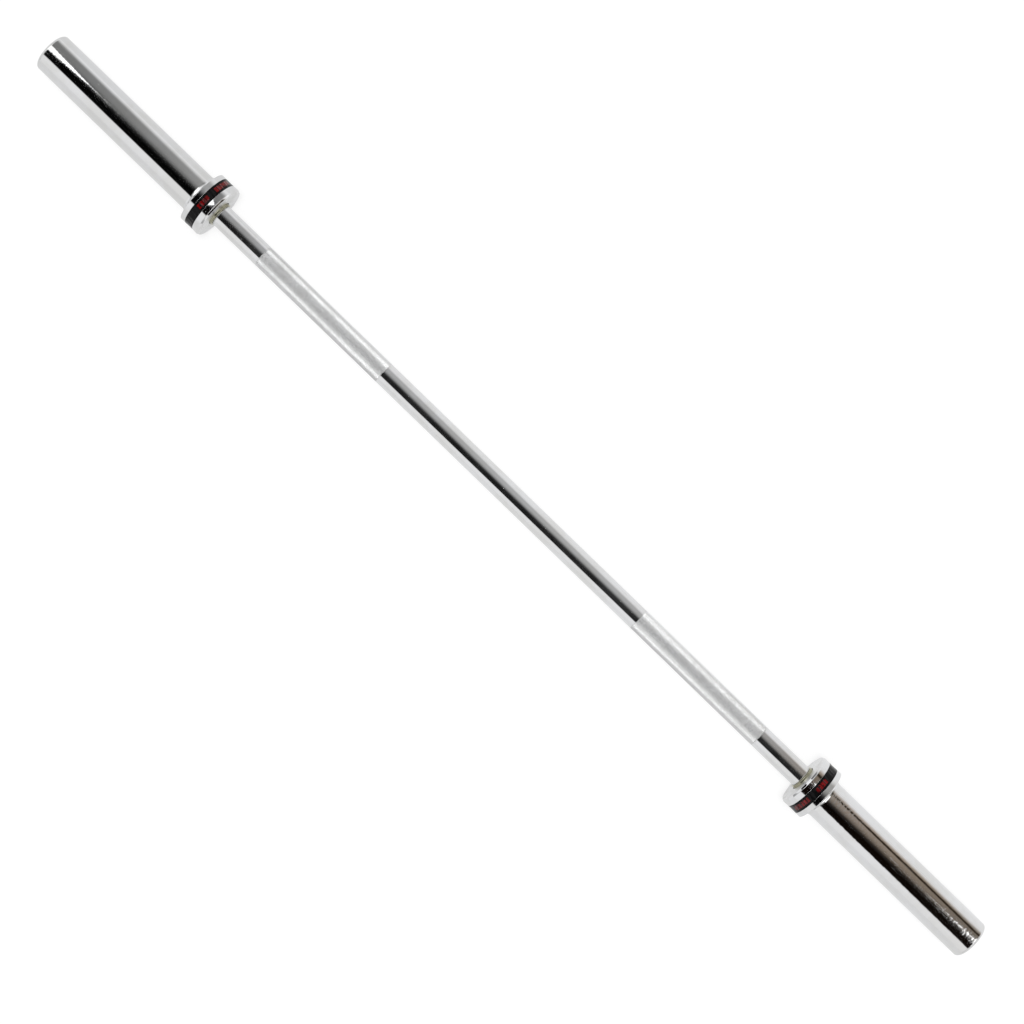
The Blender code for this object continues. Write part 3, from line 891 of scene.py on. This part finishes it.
# %% Helpers that spin a section and copy a finished piece
ROUND_STEPS = 96


def shade_round(piece, smooth_below):
    """Shade smoothly, with the large faces deciding the direction where they meet small ones."""
    bpy.ops.object.shade_smooth_by_angle(angle=radians(smooth_below))
    weighted = piece.modifiers.new("large_faces_decide", "WEIGHTED_NORMAL")
    weighted.keep_sharp = True
    bpy.ops.object.modifier_apply(modifier=weighted.name)


def drop_faces():
    """In edit mode, keep only the section's outline."""
    pick("polygons", lambda f: True)
    bpy.ops.mesh.delete(type="ONLY_FACE")


def spin(steps, angle=2 * pi):
    """In edit mode, spin everything round the bar's axis, and join what meets."""
    select_whole()
    bpy.ops.mesh.spin(steps=steps, angle=angle, center=(0, 0, 0), axis=(1, 0, 0))
    merge_doubles()


def face_out_and_leave():
    """Turn the selected faces outwards, and leave edit mode."""
    bpy.ops.mesh.normals_make_consistent(inside=False)
    leave_edit()


def spin_round(piece, steps=ROUND_STEPS, smooth_below=35):
    """Spin the section's outline round the axis and close it."""
    drop_faces()
    on_axis = pick("edges",
                   lambda e: all(abs(piece.data.vertices[v].co.z) < SAME_PLACE for v in e.vertices))
    if on_axis:
        bpy.ops.mesh.delete(type="EDGE")
    spin(steps)
    face_out_and_leave()
    shade_round(piece, smooth_below)
    print(piece.name, "has", len(piece.data.polygons), "faces")


def copy_to_left(piece, name):
    """Copy a right-hand piece with its own mesh, turned half round the bar's crosswise axis."""
    work_with(piece)
    bpy.ops.object.duplicate(linked=False)
    twin = bpy.context.object
    twin.name = name
    twin.data.name = name
    twin.rotation_euler = (0, pi, 0)
    bpy.ops.object.transform_apply(location=False, rotation=True, scale=False)
    return twin


# %% [markdown]
# ## The shaft
#
# One bar of steel, turned down at both ends where the sleeves run. Half of it is made and then
# mirrored. Its plain stretches are spun. Between them sits a knurled grip, rolled on the real bar
# by two wheels with slanted teeth. Here a tube is divided into rectangles, each is poked into four
# triangles, and the rectangles' own edges are dissolved, so that only slanted lines are left. That
# gives diamonds, and a second poke raises each into a low pyramid.

# %% Turn the plain half of the shaft
SHAFT_STEPS = 72
bushing_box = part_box("right_inner_bushing")
washer_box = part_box("right_inner_washer")
shaft_ring_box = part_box("right_shaft_ring")
SEAT_GAP = 0.3 * MM
SHOULDER_HEIGHT = 1.5 * MM
JOURNAL_RADIUS = SHAFT_RADIUS - SHOULDER_HEIGHT
JOURNAL_CHAMFER = 1.5 * MM
RING_BITE = 1.2 * MM
shoulder_at = washer_box[0].x - SEAT_GAP
shaft_end = shaft_box[1].x
ring_groove = (shaft_ring_box[0].x - SEAT_GAP, shaft_ring_box[1].x + SEAT_GAP)

shaft = start_blank("shaft_bar", 0, shaft_end, 0, SHAFT_RADIUS)
take_away(shoulder_at, shaft_end + MM, JOURNAL_RADIUS, SHAFT_RADIUS + MM)
take_away(*ring_groove, JOURNAL_RADIUS - RING_BITE, JOURNAL_RADIUS + MM)
tidy_section()
round_corner(shoulder_at, SHAFT_RADIUS, 0.3 * MM, 2)
round_corner(shaft_end, JOURNAL_RADIUS, JOURNAL_CHAMFER, 1)
for knurl_edge in (KNURL_FROM, KNURL_TO):
    saw((knurl_edge, 0, 0), (1, 0, 0))
drop_faces()
pick("edges", lambda e: all(
    KNURL_FROM - SAME_PLACE < shaft.data.vertices[v].co.x < KNURL_TO + SAME_PLACE
    for v in e.vertices))
bpy.ops.mesh.delete(type="EDGE")
# The bar's middle is open, because the mirrored half joins it there.
pick("edges", lambda e: all(
    shaft.data.vertices[v].co.x < SAME_PLACE or shaft.data.vertices[v].co.z < SAME_PLACE
    for v in e.vertices))
bpy.ops.mesh.delete(type="EDGE")
spin(SHAFT_STEPS)
bpy.ops.mesh.delete_loose()
leave_edit()
print("plain half of the shaft:", len(shaft.data.polygons), "faces")

# %% Roll the knurl
KNURL_ROWS = 94
KNURL_LEAD_IN = 0.2 * MM
knurl_length = KNURL_TO - KNURL_FROM - 2 * KNURL_LEAD_IN
deselect_all()
bpy.ops.mesh.primitive_cylinder_add(
    vertices=SHAFT_STEPS, radius=KNURL_VALLEY, depth=knurl_length, end_fill_type="NOTHING",
    location=((KNURL_FROM + KNURL_TO) / 2, 0, 0), rotation=(0, pi / 2, 0))
knurl = bpy.context.object
bpy.ops.object.transform_apply(location=True, rotation=True, scale=True)
enter_edit()


def length_along(mesh, edge):
    """How far an edge goes along the bar."""
    first, second = edge.vertices
    return abs(mesh.vertices[first].co.x - mesh.vertices[second].co.x)


def length_across(mesh, edge):
    """How far an edge goes in the other two directions."""
    first, second = (mesh.vertices[v].co for v in edge.vertices)
    return (first.yz - second.yz).length


pick("edges", lambda e: length_along(knurl.data, e) > MM)
bpy.ops.mesh.subdivide(number_cuts=KNURL_ROWS - 1)
select_whole()
bpy.ops.mesh.poke(offset=0.0)
open_ends = (KNURL_FROM + KNURL_LEAD_IN, KNURL_TO - KNURL_LEAD_IN)


def is_first_net(edge):
    """True for the rectangles' own edges, but not for those at the tube's two open ends."""
    start = knurl.data.vertices[edge.vertices[0]].co.x
    if length_along(knurl.data, edge) < SAME_PLACE:
        return all(abs(start - end) > SAME_PLACE for end in open_ends)
    return length_across(knurl.data, edge) < SAME_PLACE


print("edges dissolved for the knurl:", pick("edges", is_first_net))
bpy.ops.mesh.dissolve_edges(use_verts=False)
bpy.ops.mesh.select_all(action="DESELECT")
bpy.ops.mesh.select_mode(type="FACE")
bpy.ops.mesh.select_face_by_sides(number=4, type="EQUAL")
bpy.ops.mesh.poke(offset=KNURL_CREST - KNURL_VALLEY)
leave_edit()
print("knurl:", len(knurl.data.polygons), "faces, about",
      round(2 * pi * KNURL_VALLEY / SHAFT_STEPS / MM, 2), "by",
      round(knurl_length / KNURL_ROWS / MM, 2), "mm a diamond")

# %% Join the knurl to the shaft, then mirror the half
work_with(knurl, shaft)
bpy.ops.object.join()
enter_edit()


def is_seam(edge, rings):
    """True for an edge of one of these open rings, which lie round the shaft."""
    start = shaft.data.vertices[edge.vertices[0]].co
    at_a_ring = min(abs(start.x - ring) for ring in rings) < SAME_PLACE
    level = length_along(shaft.data, edge) < SAME_PLACE
    return level and at_a_ring and start.yz.length > KNURL_VALLEY - SAME_PLACE


for seam_rings in zip((KNURL_FROM, KNURL_TO), open_ends):
    pick("edges", lambda e: is_seam(e, seam_rings))
    bpy.ops.mesh.bridge_edge_loops()
select_whole()
face_out_and_leave()
mirror = shaft.modifiers.new("other_half", "MIRROR")
mirror.use_axis = (True, False, False)
mirror.use_mirror_merge = True
mirror.merge_threshold = 0.01 * MM
bpy.ops.object.modifier_apply(modifier=mirror.name)
enter_edit()
select_whole()
face_out_and_leave()
shade_round(shaft, 24)
print("whole shaft:", len(shaft.data.polygons), "faces")

# %% [markdown]
# ## The sleeves
#
# Each sleeve is a 50 mm tube bored in steps: a wide bore at each end for a bushing, and a mouth
# with a groove for the snap ring that holds the end cap. Its outer rim is well rounded, so that
# plates slide on without catching. The steps inside are cut out of the section one by one.

# %% Turn the right sleeve
sleeve_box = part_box("right_sleeve")
outer_bushing_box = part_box("right_outer_bushing")
cap_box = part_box("right_end_cap")
cap_ring_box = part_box("right_cap_ring")
SLEEVE_RADIUS = 25.0 * MM
RIM_ROUNDING = 3.5 * MM
COUNTERBORE_RADIUS = bushing_box[1].z * flat_to_round + SEAT_GAP
BORE_RADIUS = COUNTERBORE_RADIUS - SHOULDER_HEIGHT
CAP_RADIUS = cap_box[1].z * flat_to_round
MOUTH_RADIUS = CAP_RADIUS + SEAT_GAP
RING_GROOVE_RADIUS = MOUTH_RADIUS + RING_BITE
sleeve_start = sleeve_box[0].x
sleeve_end = sleeve_box[1].x
cap_step = cap_box[0].x - SEAT_GAP
cap_ring_groove = (cap_ring_box[0].x - SEAT_GAP, cap_ring_box[1].x + SEAT_GAP)

right_sleeve = start_blank("sleeve_tube_right", sleeve_start, sleeve_end, BORE_RADIUS,
                           SLEEVE_RADIUS)
take_away(sleeve_start - MM, bushing_box[1].x + SEAT_GAP, BORE_RADIUS - MM,
          COUNTERBORE_RADIUS)
take_away(outer_bushing_box[0].x - SEAT_GAP, sleeve_end + MM, BORE_RADIUS - MM,
          COUNTERBORE_RADIUS)
take_away(cap_step, sleeve_end + MM, BORE_RADIUS - MM, MOUTH_RADIUS)
take_away(*cap_ring_groove, MOUTH_RADIUS - MM, RING_GROOVE_RADIUS)
tidy_section()
round_corner(sleeve_end, SLEEVE_RADIUS, RIM_ROUNDING, 8, 0.42)
round_corner(sleeve_end, MOUTH_RADIUS, 0.5 * MM, 2)
round_corner(sleeve_start, SLEEVE_RADIUS, 0.4 * MM, 2)
spin_round(right_sleeve)

# %% [markdown]
# ## The collars
#
# A collar stops the plates. It is a thick ring with a groove for the black band, a sloping edge on
# its inner side, and a hollow fillet down to the sleeve. The flange beside the band falls a third
# of a millimetre towards it, too little to see as a shape, but it brings the lit opening into its
# mirror. The fillet starts as a slight cone for the same reason.

# %% Turn the right collar
collar_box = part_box("right_collar")
band_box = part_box("right_collar_band")
COLLAR_RADIUS = collar_box[1].z
WEB_WIDTH = 4.0 * MM
COLLAR_WIDTH = 28.0 * MM
NOSE_RADIUS = SHAFT_RADIUS + 2.0 * MM
NECK_LIP = 0.4 * MM
SLOPE_WIDTH = 2.7 * MM
SLOPE_HEIGHT = 1.5 * MM
FLANGE_FALL = 0.30 * MM
NECK_RISE = 0.33 * MM
FILLET_SIZE = 3.2 * MM
BAND_DEPTH = 3.0 * MM
BAND_GAP = 0.1 * MM
collar_face = collar_box[0].x
collar_outer = collar_face + COLLAR_WIDTH
neck_end = collar_box[1].x
neck_inside = SLEEVE_RADIUS + SEAT_GAP
neck_outside = neck_inside + NECK_LIP
groove = (band_box[0].x - BAND_GAP, band_box[1].x + BAND_GAP)
groove_root = COLLAR_RADIUS - BAND_DEPTH
band_radius = COLLAR_RADIUS - FLANGE_FALL

right_collar = start_blank("collar_ring_right", collar_face, neck_end, NOSE_RADIUS + SEAT_GAP,
                           COLLAR_RADIUS)
take_away(collar_face + WEB_WIDTH, neck_end + MM, NOSE_RADIUS - MM, neck_inside)
take_away(collar_outer, neck_end + MM, neck_outside, COLLAR_RADIUS + MM)
take_away(*groove, groove_root, COLLAR_RADIUS + MM)
slope_start = (collar_face, 0, COLLAR_RADIUS - SLOPE_HEIGHT)
saw(slope_start, Vector((-SLOPE_HEIGHT, 0, SLOPE_WIDTH)).normalized(), away=True)
tidy_section()
for groove_edge in groove:
    move_corner(groove_edge, COLLAR_RADIUS, -FLANGE_FALL)
move_corner(collar_outer, neck_outside, NECK_RISE)
round_corner(collar_face, COLLAR_RADIUS - SLOPE_HEIGHT, 0.5 * MM, 3)
round_corner(collar_face + SLOPE_WIDTH, COLLAR_RADIUS, 0.5 * MM, 3)
for groove_edge in groove:
    round_corner(groove_edge, band_radius, 0.2 * MM, 2)
round_corner(collar_outer, COLLAR_RADIUS, 0.6 * MM, 4)
round_corner(collar_outer, neck_outside + NECK_RISE, FILLET_SIZE, 8)
round_corner(collar_face, NOSE_RADIUS + SEAT_GAP, 0.4 * MM, 2)
spin_round(right_collar, 120)

# %% Turn the right band
BAND_DIP = 0.2 * MM
deepest = band_box[0].x + 4.0 * MM
right_band = start_blank("collar_band_right", band_box[0].x, band_box[1].x, groove_root + SEAT_GAP,
                         band_radius)
saw((deepest, 0, 0), (1, 0, 0))
move_corner(deepest, band_radius, -BAND_DIP)
for band_edge in (band_box[0].x, band_box[1].x):
    round_corner(band_edge, band_radius, 0.3 * MM, 3)
spin_round(right_band, 120)

# %% [markdown]
# ## The bronze nose and its washer
#
# The inner bushing's nose comes out through the collar's web, with a thrust washer in front of it.
# In the picture this is the thin yellowish ring round the shaft. Both narrow towards the shaft's
# middle, so that they mirror the room and not only the collar's face behind them.

# %% Turn the bushing and the washer
BUSHING_BORE = JOURNAL_RADIUS + 0.08 * MM
BUSHING_RADIUS = COUNTERBORE_RADIUS - SEAT_GAP
bushing_step = collar_face + WEB_WIDTH + SEAT_GAP
WASHER_GAP = 0.1 * MM
NOSE_TAPER = 0.08
washer_sides = (washer_box[0].x, bushing_box[0].x - WASHER_GAP)
right_bushing = start_blank("inner_bushing_right", bushing_box[0].x, bushing_box[1].x, BUSHING_BORE,
                            BUSHING_RADIUS)
take_away(bushing_box[0].x - MM, bushing_step, NOSE_RADIUS, BUSHING_RADIUS + MM)
tidy_section()
nose_fall = NOSE_TAPER * (bushing_step - bushing_box[0].x)
move_corner(bushing_box[0].x, NOSE_RADIUS, -nose_fall)
round_corner(bushing_box[0].x, NOSE_RADIUS - nose_fall, 0.1 * MM, 2)
round_corner(bushing_box[0].x, BUSHING_BORE, 0.3 * MM, 2)
round_corner(bushing_box[1].x, BUSHING_RADIUS, 0.5 * MM, 2)
spin_round(right_bushing)

right_washer = start_blank("inner_washer_right", *washer_sides, BUSHING_BORE, NOSE_RADIUS)
washer_falls = [NOSE_TAPER * (bushing_step - side) for side in washer_sides]
for side, fall, rounding in zip(washer_sides, washer_falls, (0.3 * MM, 0.1 * MM)):
    move_corner(side, NOSE_RADIUS, -fall)
    round_corner(side, NOSE_RADIUS - fall, rounding, 3)
spin_round(right_washer)

# %% [markdown]
# ## The end cap and its snap ring
#
# The cap is a dished disc. The snap ring is not a full circle: it is spun most of the way round,
# and each of its two ends carries an eye for the pliers. An eye is a small disc joined to the ring
# by a boolean, with its hole cut out by a second one.

# %% Turn the end cap
DISH_DEPTH = 0.8 * MM
DISH_RADIUS = CAP_RADIUS - 4.4 * MM
cap_face = cap_box[1].x
right_cap = start_blank("end_cap_right", cap_box[0].x, cap_face, 0, CAP_RADIUS)
take_away(cap_face - DISH_DEPTH, cap_face + MM, -MM, DISH_RADIUS)
tidy_section()
round_corner(cap_face - DISH_DEPTH, DISH_RADIUS, 0.35 * MM, 3)
round_corner(cap_face, DISH_RADIUS, 0.35 * MM, 3)
round_corner(cap_face, CAP_RADIUS, 0.6 * MM, 3)
spin_round(right_cap, smooth_below=30)

# %% Spin the snap ring most of the way round
RING_WIDTH = 2.2 * MM
RING_OPENING = radians(28)
EYE_ANGLE = radians(20)
EYE_RADIUS = 1.75 * MM
HOLE_RADIUS = 0.7 * MM
ring_outside = RING_GROOVE_RADIUS - SEAT_GAP
eye_middle = ring_outside - EYE_RADIUS - 0.15 * MM
ring_thickness = cap_ring_box[1].x - cap_ring_box[0].x
ring_middle = (cap_ring_box[0].x + cap_ring_box[1].x) / 2

right_ring = start_blank("cap_snap_ring_right", cap_ring_box[0].x, cap_ring_box[1].x,
                         ring_outside - RING_WIDTH, ring_outside)
spin(ROUND_STEPS, 2 * pi - RING_OPENING)
face_out_and_leave()

# %% Turn the ring's opening downwards and add its two eyes
spun_to_far_side = any(v.co.y > 0 and v.co.z > 0 and v.co.y < v.co.z * sin(RING_OPENING)
                       for v in right_ring.data.vertices)
opening_middle_angle = -RING_OPENING / 2 if spun_to_far_side else RING_OPENING / 2
right_ring.rotation_euler = (opening_middle_angle - pi, 0, 0)
bpy.ops.object.transform_apply(location=False, rotation=True, scale=False)


def add_disc(radius, thickness, side):
    """A short cylinder at the place of one eye."""
    deselect_all()
    place = (ring_middle, side * eye_middle * sin(EYE_ANGLE), -eye_middle * cos(EYE_ANGLE))
    bpy.ops.mesh.primitive_cylinder_add(vertices=32, radius=radius, depth=thickness,
                                        location=place, rotation=(0, pi / 2, 0))
    bpy.ops.object.transform_apply(location=True, rotation=True, scale=True)
    return bpy.context.object


def combine(piece, tool, operation):
    """Join a tool to a piece or cut it out, then remove the tool."""
    deselect_all()
    bpy.context.view_layer.objects.active = piece
    step = piece.modifiers.new("combine", "BOOLEAN")
    step.operation = operation
    step.object = tool
    step.solver = "EXACT"
    bpy.ops.object.modifier_apply(modifier=step.name)
    bpy.data.objects.remove(tool)


for side in (-1, 1):
    combine(right_ring, add_disc(EYE_RADIUS, ring_thickness, side), "UNION")
    combine(right_ring, add_disc(HOLE_RADIUS, ring_thickness + 2 * MM, side), "DIFFERENCE")
work_with(right_ring)
shade_round(right_ring, 30)
print("snap ring:", len(right_ring.data.polygons), "faces")

# %% [markdown]
# ## Finishes onto pieces
#
# A slot on each piece takes its finish. The collar gets two: polished chrome all over, and satin
# on the flat face towards the shaft. Then every right-hand piece is copied to the left, with a
# mesh of its own, because turned copies of the same parts are what is on the real bar too.

# %% Give each right-hand piece its finish
def give_finish(piece, finish):
    """Make this the piece's only finish."""
    piece.data.materials.clear()
    piece.data.materials.append(finish)


# Each right-hand piece, by the CAD node it stands for: the piece, its finish, the body that carries
# it, and its slot.
RIGHT_PIECES = {
    "sleeve": (right_sleeve, right_sleeve_chrome, "right_sleeve", "sleeve_chrome"),
    "collar": (right_collar, collar_chrome, "right_sleeve", "collar_chrome"),
    "collar_band": (right_band, band_right_finish, "right_sleeve", "collar_band"),
    "inner_bushing": (right_bushing, bronze, "right_sleeve", "bronze"),
    "inner_washer": (right_washer, bronze, "shaft", "bronze"),
    "end_cap": (right_cap, cap_satin, "right_sleeve", "cap_chrome"),
    "cap_ring": (right_ring, spring_steel, "right_sleeve", "spring_steel"),
}
give_finish(shaft, shaft_chrome)
for piece, finish, body, slot in RIGHT_PIECES.values():
    give_finish(piece, finish)

deselect_all()
bpy.context.view_layer.objects.active = right_collar
right_collar.data.materials.append(collar_satin)
right_collar.active_material_index = 1
enter_edit()
print("satin faces:", pick("polygons", lambda f: f.normal.x < -0.95
                           and f.center.x < collar_face + MM))
bpy.ops.object.material_slot_assign()
leave_edit()

# %% Copy the pieces to the left
left_pieces = {node: copy_to_left(piece, piece.name.replace("right", "left"))
               for node, (piece, *rest) in RIGHT_PIECES.items()}
give_finish(left_pieces["sleeve"], left_sleeve_chrome)
give_finish(left_pieces["collar_band"], band_left_finish)

# %% [markdown]
# ## Pieces onto the model
#
# Each new piece rides on the CAD body that carries it, and stands for the CAD node whose place it
# takes. The shaft carries the washers. The pieces inside that nobody sees from outside keep their
# CAD shapes and only get a finish.

# %% Tie every piece to its body
def stand_in(piece, body, node):
    """The piece rides on a body and is shown instead of a CAD node."""
    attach(piece, body)
    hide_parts(node)


stand_in(shaft, "shaft", "shaft")
for node, (piece, finish, body, slot) in RIGHT_PIECES.items():
    stand_in(piece, body, f"right_{node}")
for node, (piece, finish, body, slot) in RIGHT_PIECES.items():
    stand_in(left_pieces[node], body.replace("right", "left"), f"left_{node}")
for side in ("right", "left"):
    for hidden, finish in (("outer_bushing", bronze), ("outer_washer", ground_steel),
                           ("shaft_ring", spring_steel)):
        give_finish(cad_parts[f"{side}_{hidden}"], finish)

# %% Select nothing and print the CAD model's box
deselect_all()
print("box in mm, CAD:", [[round(v / MM, 3) for v in c] for c in cad_box])
